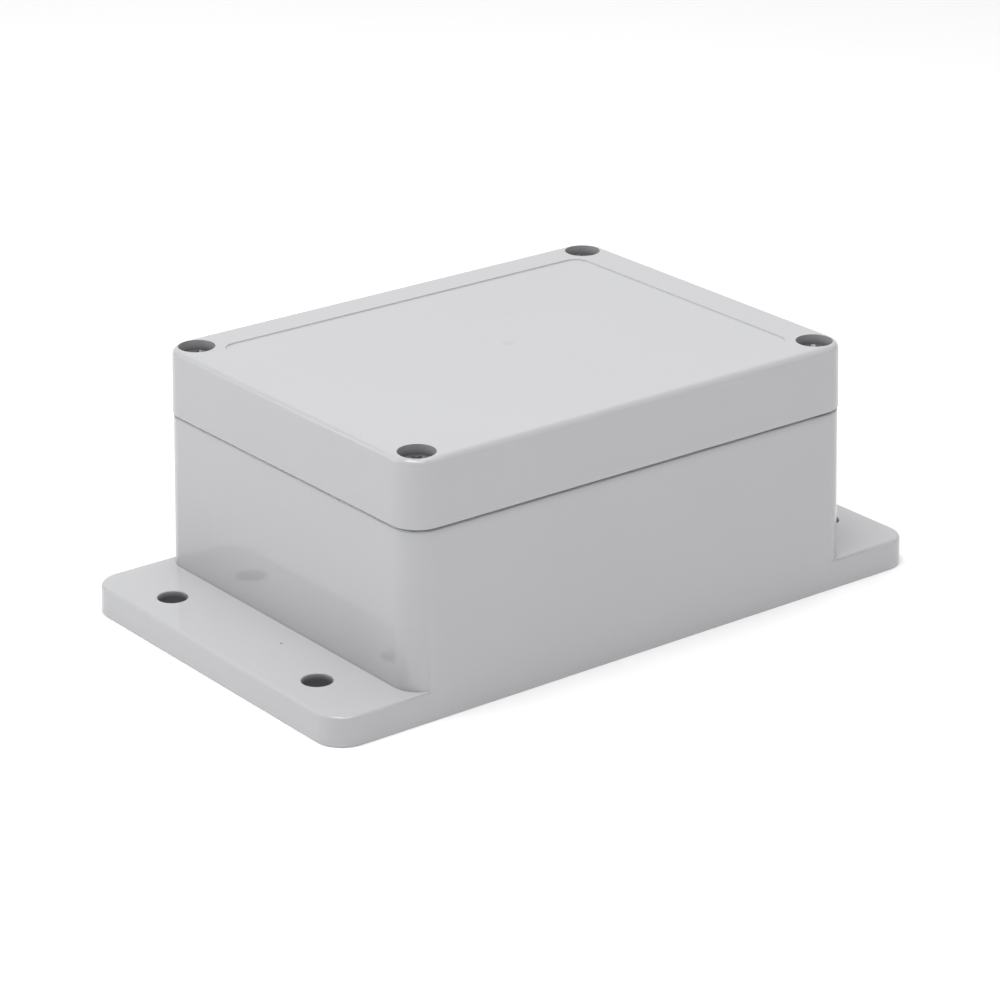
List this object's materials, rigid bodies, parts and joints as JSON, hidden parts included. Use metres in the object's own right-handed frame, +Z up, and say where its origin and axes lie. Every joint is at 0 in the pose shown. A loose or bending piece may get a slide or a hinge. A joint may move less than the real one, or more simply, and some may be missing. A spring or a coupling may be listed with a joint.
{
  "type": "plastic project box",
  "caption": "Flanged plastic enclosure with a gasketed lift-off lid, sunk corner screws and a shallow label recess, for small circuit boards.",
  "frame": {"origin": "centre of the underside, on the surface that the box stands on", "axes": "+X along the box's long side, with a mounting flange at each end; +Y across it; +Z up, through the lid"},
  "size_m": [0.1536, 0.0896, 0.055],
  "materials": {
    "moulded_shell": "semi-gloss moulded light grey",
    "gasket_rubber": "matt black",
    "screw_steel": "bright stainless",
    "insert_brass": "turned and knurled"
  },
  "bodies": {
    "box": {"base": "moulded_shell", "threaded_insert_front_left": "insert_brass", "threaded_insert_rear_left": "insert_brass", "threaded_insert_front_right": "insert_brass", "threaded_insert_rear_right": "insert_brass"},
    "cover": {"lid": "moulded_shell", "gasket": "gasket_rubber"},
    "screw_front_left": {"lid_screw_front_left": "screw_steel"},
    "screw_rear_left": {"lid_screw_rear_left": "screw_steel"},
    "screw_front_right": {"lid_screw_front_right": "screw_steel"},
    "screw_rear_right": {"lid_screw_rear_right": "screw_steel"}
  },
  "joints": [
    {"name": "lid_lift", "type": "slide", "parent": "box", "child": "cover", "axis": [0, 0, 1], "range_m": [0, 0.06]},
    {"name": "turn_screw_front_left", "type": "hinge", "parent": "cover", "child": "screw_front_left", "pos_m": [-0.05175, -0.0386, 0.0509], "axis": [0, 0, 1], "continuous": true},
    {"name": "turn_screw_rear_left", "type": "hinge", "parent": "cover", "child": "screw_rear_left", "pos_m": [-0.05175, 0.0386, 0.0509], "axis": [0, 0, 1], "continuous": true},
    {"name": "turn_screw_front_right", "type": "hinge", "parent": "cover", "child": "screw_front_right", "pos_m": [0.05175, -0.0386, 0.0509], "axis": [0, 0, 1], "continuous": true},
    {"name": "turn_screw_rear_right", "type": "hinge", "parent": "cover", "child": "screw_rear_right", "pos_m": [0.05175, 0.0386, 0.0509], "axis": [0, 0, 1], "continuous": true}
  ]
}
